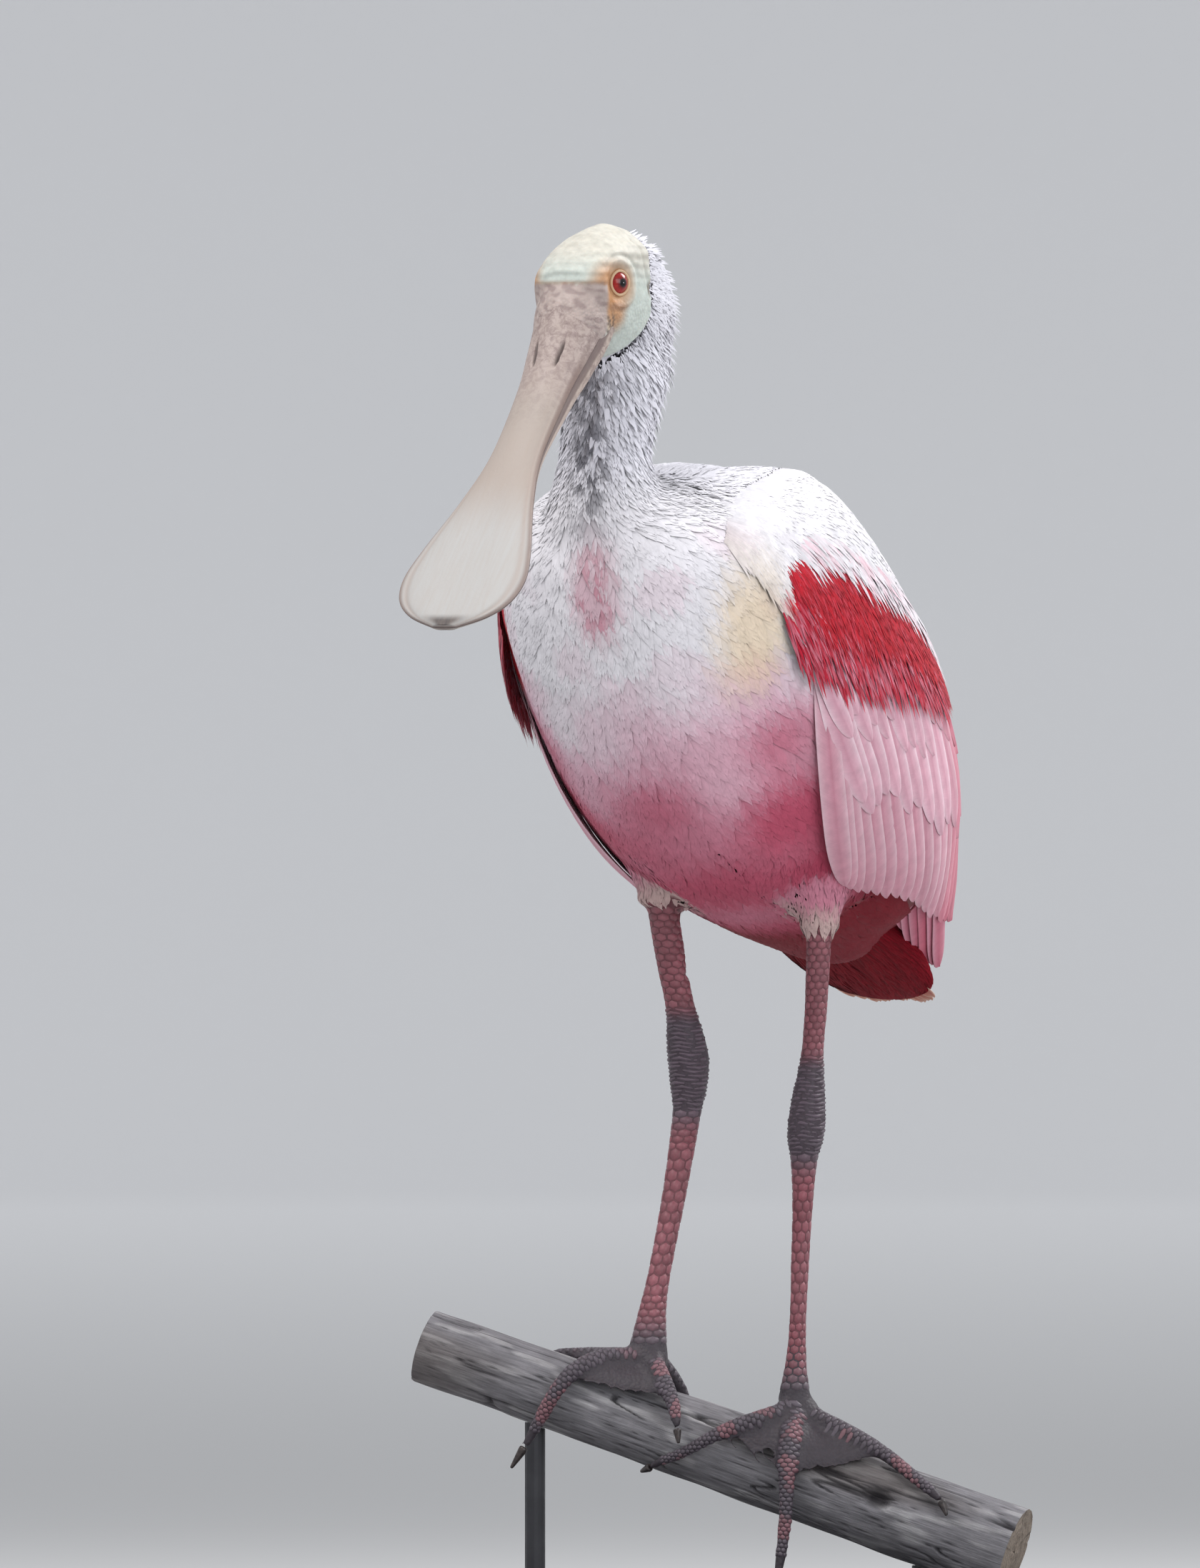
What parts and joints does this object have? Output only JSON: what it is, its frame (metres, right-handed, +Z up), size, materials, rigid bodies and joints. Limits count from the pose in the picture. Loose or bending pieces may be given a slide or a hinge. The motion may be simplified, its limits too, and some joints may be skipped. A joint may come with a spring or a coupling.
{
  "type": "roseate spoonbill",
  "caption": "Life-size still model of a roseate spoonbill gripping a cut length of branch on a flat display stand",
  "frame": {"origin": "centre of the flat underside of the display stand's base, on the surface it stands on", "axes": "+Z up, -Y the way the bird faces, +X its left side"},
  "size_m": [0.3, 0.4359, 0.619],
  "materials": {
    "face_skin": "matt bare skin, greenish white, ochre round the eye",
    "bill": "matt horn, beige with a greyish white spoon",
    "white_feathers": "soft matt plumage",
    "wing_feathers": "soft matt plumage, pink with a red patch",
    "tail_feathers": "soft matt plumage",
    "eye": "wet gloss, deep red iris and black pupil",
    "leg_skin": "scaled skin, dusky rose, dark at the ankles",
    "foot_skin": "scaled skin, dark grey purple",
    "claw": "satin black horn",
    "branch_wood": "weathered grey wood with drying cracks",
    "stand_metal": "satin dark grey paint"
  },
  "bodies": {
    "root": {"head": "face_skin", "bill_upper": "bill", "bill_lower": "bill", "neck": "white_feathers", "torso": "white_feathers", "tail": "tail_feathers", "eye_left": "eye", "wing_left": "wing_feathers", "thigh_left": "wing_feathers", "shank_left": "leg_skin", "tarsus_left": "leg_skin", "foot_left": "foot_skin", "claw_left_middle": "claw", "claw_left_outer": "claw", "claw_left_inner": "claw", "claw_left_hind": "claw", "eye_right": "eye", "wing_right": "wing_feathers", "thigh_right": "wing_feathers", "shank_right": "leg_skin", "tarsus_right": "leg_skin", "foot_right": "foot_skin", "claw_right_middle": "claw", "claw_right_outer": "claw", "claw_right_inner": "claw", "claw_right_hind": "claw", "perch_branch": "branch_wood", "stand_base": "stand_metal", "stand_rod_1": "stand_metal", "stand_rod_2": "stand_metal"}
  },
  "joints": []
}
